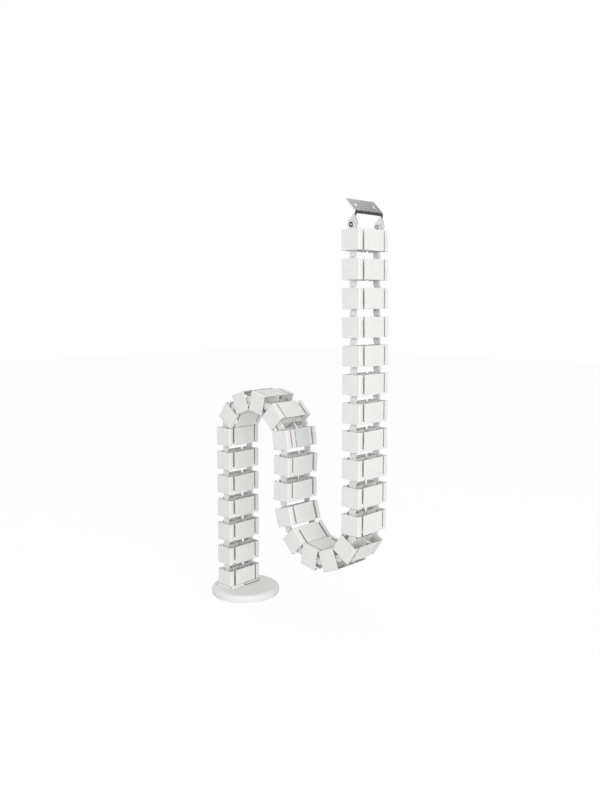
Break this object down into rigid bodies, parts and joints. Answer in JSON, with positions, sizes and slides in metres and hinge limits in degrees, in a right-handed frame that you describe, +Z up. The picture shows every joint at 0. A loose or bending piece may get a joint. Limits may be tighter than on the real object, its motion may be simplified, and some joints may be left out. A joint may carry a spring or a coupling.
{
  "type": "desk cable spine",
  "caption": "Jointed cable spine: a chain of hinged box links carries cables in an S from a round weighted floor foot up to a screw-on desk bracket.",
  "frame": {"origin": "middle of the foot's underside, on the floor", "axes": "+Z up from the floor, X along every hinge axis, and the chain runs from the foot toward -Y"},
  "size_m": [0.124, 0.3586, 0.6888],
  "materials": {
    "link_plastic": "matte",
    "foot_plastic": "matte",
    "marker_plastic": "satin",
    "weight_steel": "satin",
    "pad_rubber": "matte",
    "bracket_steel": "satin",
    "pin_steel": "satin"
  },
  "bodies": {
    "foot": {"foot_cover": "foot_plastic", "foot_insert": "foot_plastic", "foot_weight": "weight_steel", "foot_pad": "pad_rubber", "link_01": "link_plastic"},
    "body_link_02": {"link_02": "link_plastic"},
    "body_link_03": {"link_03": "link_plastic"},
    "body_link_04": {"link_04": "link_plastic"},
    "body_link_05": {"link_05": "link_plastic"},
    "body_link_06": {"link_06": "link_plastic"},
    "body_link_07": {"link_07": "link_plastic"},
    "body_link_08": {"link_08": "link_plastic"},
    "body_link_09": {"link_09": "link_plastic"},
    "body_link_10": {"link_10": "link_plastic"},
    "body_link_11": {"link_11": "link_plastic"},
    "body_link_12": {"link_12": "link_plastic", "marker_plate": "marker_plastic"},
    "body_link_13": {"link_13": "link_plastic"},
    "body_link_14": {"link_14": "link_plastic"},
    "body_link_15": {"link_15": "link_plastic"},
    "body_link_16": {"link_16": "link_plastic"},
    "body_link_17": {"link_17": "link_plastic"},
    "body_link_18": {"link_18": "link_plastic"},
    "body_link_19": {"link_19": "link_plastic"},
    "body_link_20": {"link_20": "link_plastic"},
    "body_link_21": {"link_21": "link_plastic"},
    "body_link_22": {"link_22": "link_plastic"},
    "body_link_23": {"link_23": "link_plastic"},
    "body_link_24": {"link_24": "link_plastic"},
    "body_link_25": {"link_25": "link_plastic"},
    "body_link_26": {"link_26": "link_plastic"},
    "body_link_27": {"link_27": "link_plastic"},
    "body_link_28": {"link_28": "link_plastic"},
    "body_link_29": {"link_29": "link_plastic"},
    "body_link_30": {"link_30": "link_plastic"},
    "bracket_body": {"bracket": "bracket_steel", "bracket_pin_left": "pin_steel", "bracket_pin_right": "pin_steel"}
  },
  "joints": [
    {"name": "hinge_link_02", "type": "hinge", "parent": "foot", "child": "body_link_02", "pos_m": [0, 0.018, 0.0512], "axis": [1, 0, 0], "range_deg": [-36.5, 36.5]},
    {"name": "hinge_link_03", "type": "hinge", "parent": "body_link_02", "child": "body_link_03", "pos_m": [0, 0.018, 0.0952], "axis": [-1, 0, 0], "range_deg": [-36.5, 36.5]},
    {"name": "hinge_link_04", "type": "hinge", "parent": "body_link_03", "child": "body_link_04", "pos_m": [0, 0.018, 0.1392], "axis": [1, 0, 0], "range_deg": [-36.5, 36.5]},
    {"name": "hinge_link_05", "type": "hinge", "parent": "body_link_04", "child": "body_link_05", "pos_m": [0, 0.018, 0.1832], "axis": [-1, 0, 0], "range_deg": [-36.5, 36.5]},
    {"name": "hinge_link_06", "type": "hinge", "parent": "body_link_05", "child": "body_link_06", "pos_m": [0, 0.018, 0.2272], "axis": [1, 0, 0], "range_deg": [-36.5, 36]},
    {"name": "hinge_link_07", "type": "hinge", "parent": "body_link_06", "child": "body_link_07", "pos_m": [0, 0.018, 0.2712], "axis": [-1, 0, 0], "range_deg": [-32.5, 36.5]},
    {"name": "hinge_link_08", "type": "hinge", "parent": "body_link_07", "child": "body_link_08", "pos_m": [0, 0.018, 0.3152], "axis": [1, 0, 0], "range_deg": [-71.5, 1.5]},
    {"name": "hinge_link_09", "type": "hinge", "parent": "body_link_08", "child": "body_link_09", "pos_m": [0, -0.00724, 0.35124], "axis": [-1, 0, 0], "range_deg": [-1.5, 71.5]},
    {"name": "hinge_link_10", "type": "hinge", "parent": "body_link_09", "child": "body_link_10", "pos_m": [0, -0.04858, 0.36629], "axis": [1, 0, 0], "range_deg": [-69.5, 3.5]},
    {"name": "hinge_link_11", "type": "hinge", "parent": "body_link_10", "child": "body_link_11", "pos_m": [0, -0.09146, 0.35639], "axis": [-1, 0, 0], "range_deg": [-4.5, 68.5]},
    {"name": "hinge_link_12", "type": "hinge", "parent": "body_link_11", "child": "body_link_12", "pos_m": [0, -0.12257, 0.32528], "axis": [1, 0, 0], "range_deg": [-72.5, 0.5]},
    {"name": "hinge_link_13", "type": "hinge", "parent": "body_link_12", "child": "body_link_13", "pos_m": [0, -0.12945, 0.28182], "axis": [-1, 0, 0], "range_deg": [-25.5, 47.5]},
    {"name": "hinge_link_14", "type": "hinge", "parent": "body_link_13", "child": "body_link_14", "pos_m": [0, -0.12792, 0.23785], "axis": [1, 0, 0], "range_deg": [-34.5, 38.5]},
    {"name": "hinge_link_15", "type": "hinge", "parent": "body_link_14", "child": "body_link_15", "pos_m": [0, -0.12792, 0.19385], "axis": [-1, 0, 0], "range_deg": [-52.5, 20.5]},
    {"name": "hinge_link_16", "type": "hinge", "parent": "body_link_15", "child": "body_link_16", "pos_m": [0, -0.14004, 0.15155], "axis": [1, 0, 0], "range_deg": [-8.5, 64.5]},
    {"name": "hinge_link_17", "type": "hinge", "parent": "body_link_16", "child": "body_link_17", "pos_m": [0, -0.17061, 0.1199], "axis": [-1, 0, 0], "range_deg": [-72.5, 0.5]},
    {"name": "hinge_link_18", "type": "hinge", "parent": "body_link_17", "child": "body_link_18", "pos_m": [0, -0.21394, 0.11226], "axis": [1, 0, 0], "range_deg": [-5.5, 67.5]},
    {"name": "hinge_link_19", "type": "hinge", "parent": "body_link_18", "child": "body_link_19", "pos_m": [0, -0.25502, 0.12803], "axis": [-1, 0, 0], "range_deg": [-72.5, 0.5]},
    {"name": "hinge_link_20", "type": "hinge", "parent": "body_link_19", "child": "body_link_20", "pos_m": [0, -0.27898, 0.16493], "axis": [1, 0, 0], "range_deg": [-3.5, 69.5]},
    {"name": "hinge_link_21", "type": "hinge", "parent": "body_link_20", "child": "body_link_21", "pos_m": [0, -0.27898, 0.20893], "axis": [-1, 0, 0], "range_deg": [-36.5, 36.5]},
    {"name": "hinge_link_22", "type": "hinge", "parent": "body_link_21", "child": "body_link_22", "pos_m": [0, -0.27898, 0.25293], "axis": [1, 0, 0], "range_deg": [-36.5, 36.5]},
    {"name": "hinge_link_23", "type": "hinge", "parent": "body_link_22", "child": "body_link_23", "pos_m": [0, -0.27898, 0.29693], "axis": [-1, 0, 0], "range_deg": [-36.5, 36.5]},
    {"name": "hinge_link_24", "type": "hinge", "parent": "body_link_23", "child": "body_link_24", "pos_m": [0, -0.27898, 0.34093], "axis": [1, 0, 0], "range_deg": [-36.5, 36.5]},
    {"name": "hinge_link_25", "type": "hinge", "parent": "body_link_24", "child": "body_link_25", "pos_m": [0, -0.27898, 0.38493], "axis": [-1, 0, 0], "range_deg": [-36.5, 36.5]},
    {"name": "hinge_link_26", "type": "hinge", "parent": "body_link_25", "child": "body_link_26", "pos_m": [0, -0.27898, 0.42893], "axis": [1, 0, 0], "range_deg": [-35.5, 37.5]},
    {"name": "hinge_link_27", "type": "hinge", "parent": "body_link_26", "child": "body_link_27", "pos_m": [0, -0.27821, 0.47293], "axis": [-1, 0, 0], "range_deg": [-36.5, 36.5]},
    {"name": "hinge_link_28", "type": "hinge", "parent": "body_link_27", "child": "body_link_28", "pos_m": [0, -0.27745, 0.51692], "axis": [1, 0, 0], "range_deg": [-36.5, 36.5]},
    {"name": "hinge_link_29", "type": "hinge", "parent": "body_link_28", "child": "body_link_29", "pos_m": [0, -0.27668, 0.56091], "axis": [-1, 0, 0], "range_deg": [-36.5, 36.5]},
    {"name": "hinge_link_30", "type": "hinge", "parent": "body_link_29", "child": "body_link_30", "pos_m": [0, -0.27591, 0.60491], "axis": [1, 0, 0], "range_deg": [-36.5, 36.5]},
    {"name": "hinge_bracket", "type": "hinge", "parent": "body_link_30", "child": "bracket_body", "pos_m": [0, -0.27514, 0.6489], "axis": [1, 0, 0], "range_deg": [-116, 44]}
  ]
}
